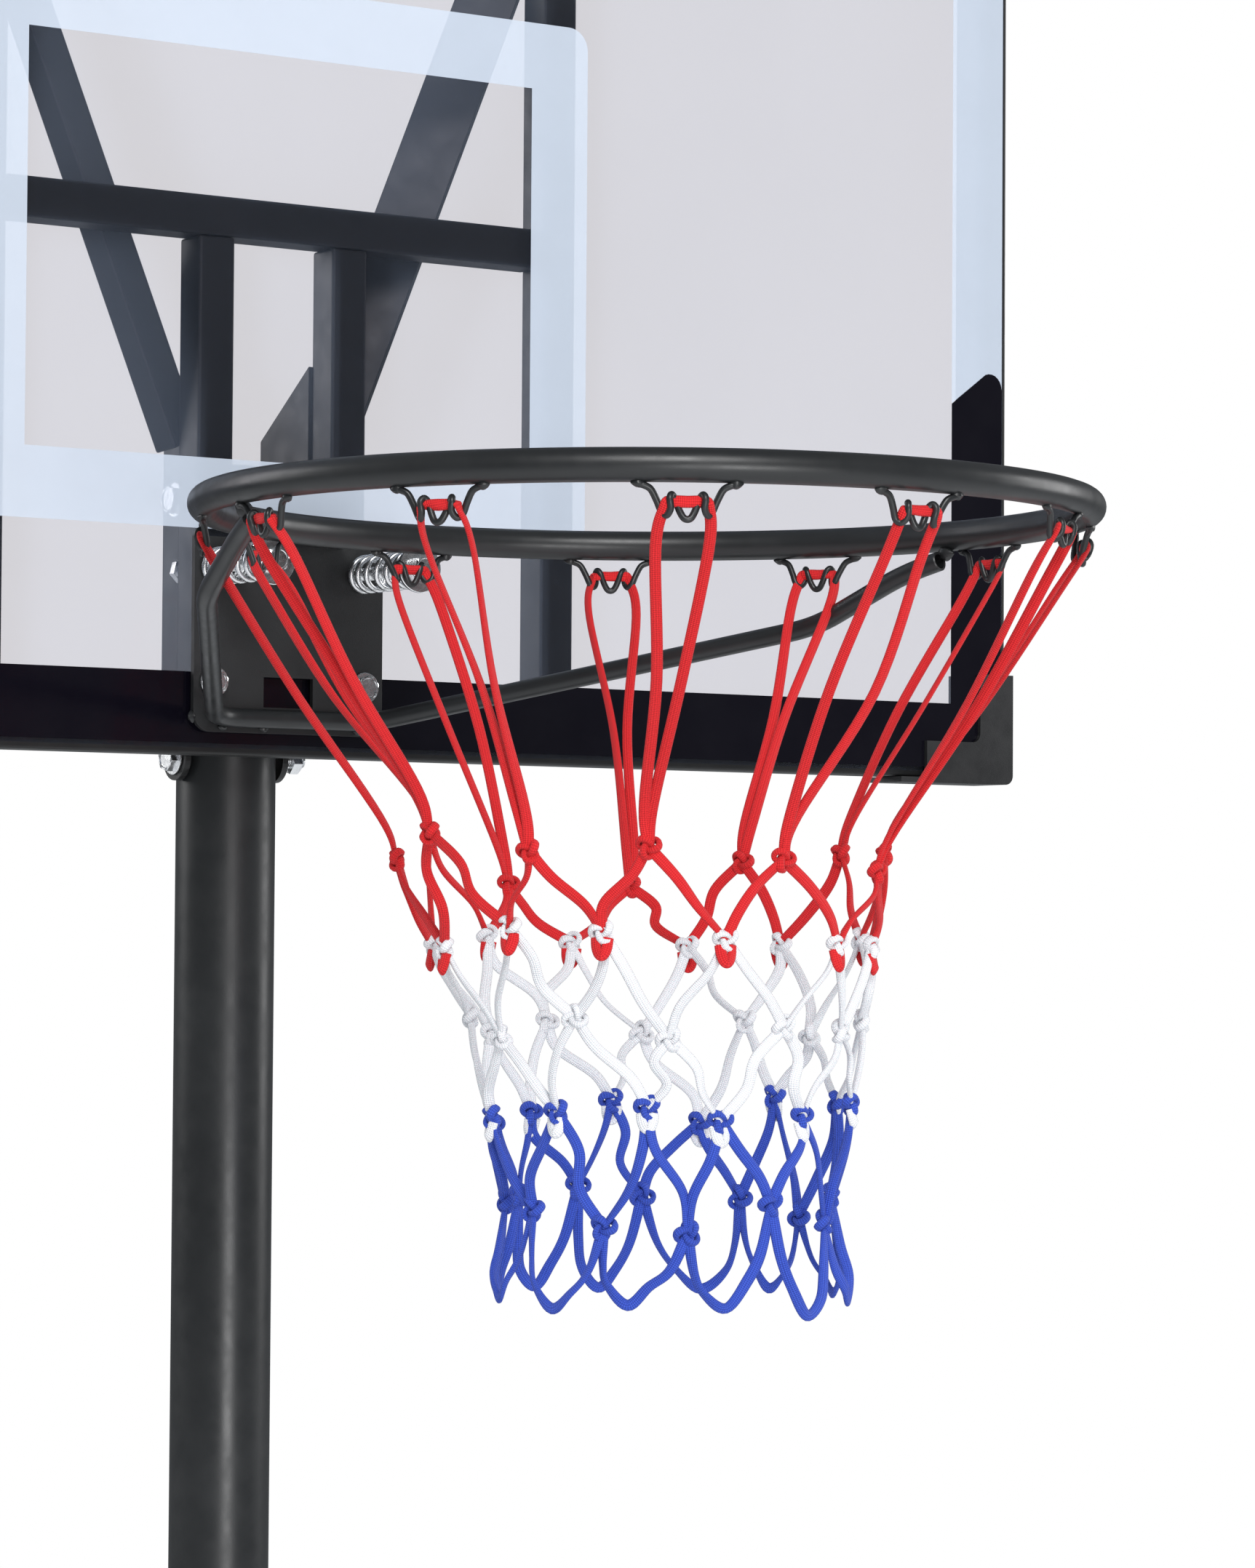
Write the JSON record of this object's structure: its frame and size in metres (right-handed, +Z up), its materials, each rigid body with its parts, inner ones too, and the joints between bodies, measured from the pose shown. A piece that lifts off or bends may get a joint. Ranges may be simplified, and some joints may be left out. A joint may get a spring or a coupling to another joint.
{
  "type": "portable basketball hoop",
  "caption": "Portable basketball hoop: wheeled ballast base, height-adjustable pole, framed clear backboard and a sprung rim with a knotted net.",
  "frame": {"origin": "where the pole's axis meets the floor, on the underside of the base", "axes": "+Z up along the pole, -Y towards the court, where the board faces, +X to the right as seen from behind the board's face, looking along +Y"},
  "size_m": [1.1152, 1.586, 2.9339],
  "materials": {
    "steel": "satin powder coat",
    "textured_steel": "fine textured powder coat",
    "zinc": "bright zinc plate",
    "plastic": "moulded",
    "clear": "clear sheet with printed bands",
    "tank": "blow-moulded grain",
    "rubber": "matt",
    "net_red": "braided cord",
    "net_white": "braided cord",
    "net_blue": "braided cord"
  },
  "bodies": {
    "base": {"base_tank": "tank", "axle": "zinc", "lower_pole": "steel", "pole_collar": "plastic", "strut_clamp": "steel", "strut_left": "steel", "strut_right": "steel"},
    "wheel_left": {"wheel_left": "rubber"},
    "wheel_right": {"wheel_right": "rubber"},
    "fill_cap": {"fill_cap": "plastic"},
    "clamp_knob": {"clamp_knob": "plastic"},
    "upper": {"upper_pole": "steel", "frame_top": "steel", "frame_bottom": "steel", "frame_cross_bar": "steel", "frame_side_left": "steel", "frame_side_right": "steel", "frame_post_left": "steel", "frame_post_right": "steel", "rim_post_left": "steel", "rim_post_right": "steel", "pole_bracket": "steel", "brace_left": "steel", "brace_right": "steel", "pole_bolt_lower": "zinc", "pole_bolt_upper": "zinc", "rim_spring_left": "zinc", "rim_spring_right": "zinc", "spring_washer_left": "zinc", "spring_washer_right": "zinc", "spring_bolt_left": "zinc", "spring_bolt_right": "zinc", "plate_bolt_left": "zinc", "plate_bolt_right": "zinc", "corner_pad_low_left": "plastic", "corner_pad_low_right": "plastic", "corner_pad_top_left": "plastic", "corner_pad_top_right": "plastic", "panel": "clear"},
    "rim": {"rim_plate": "textured_steel", "ring": "steel", "support_rod": "steel", "net_hook_01": "steel", "net_hook_02": "steel", "net_hook_03": "steel", "net_hook_04": "steel", "net_hook_05": "steel", "net_hook_06": "steel", "net_hook_07": "steel", "net_hook_08": "steel", "net_hook_09": "steel", "net_hook_10": "steel", "net_hook_11": "steel", "net_hook_12": "steel", "net_red": "net_red", "net_white": "net_white", "net_blue": "net_blue"}
  },
  "joints": [
    {"name": "wheel_left_spin", "type": "hinge", "parent": "base", "child": "wheel_left", "pos_m": [-0.24, -0.15, 0.053], "axis": [1, 0, 0], "continuous": true},
    {"name": "wheel_right_spin", "type": "hinge", "parent": "base", "child": "wheel_right", "pos_m": [0.24, -0.15, 0.053], "axis": [1, 0, 0], "continuous": true},
    {"name": "fill_cap_turn", "type": "hinge", "parent": "base", "child": "fill_cap", "pos_m": [0.22, 0.72, 0.15], "axis": [0, 0, 1], "continuous": true},
    {"name": "clamp_knob_turn", "type": "hinge", "parent": "base", "child": "clamp_knob", "pos_m": [0, 0.06, 1.225], "axis": [0, 1, 0], "continuous": true},
    {"name": "height", "type": "slide", "parent": "base", "child": "upper", "axis": [0, 0, 1], "range_m": [0, 0.75]},
    {"name": "rim_flex", "type": "hinge", "parent": "upper", "child": "rim", "pos_m": [0, -0.07295, 2.222], "axis": [1, 0, 0], "range_deg": [0, 4], "stiffness_Nm_per_rad": 300, "springref_deg": -5.73, "deforming": ["rim_spring_left", "rim_spring_right"]}
  ]
}
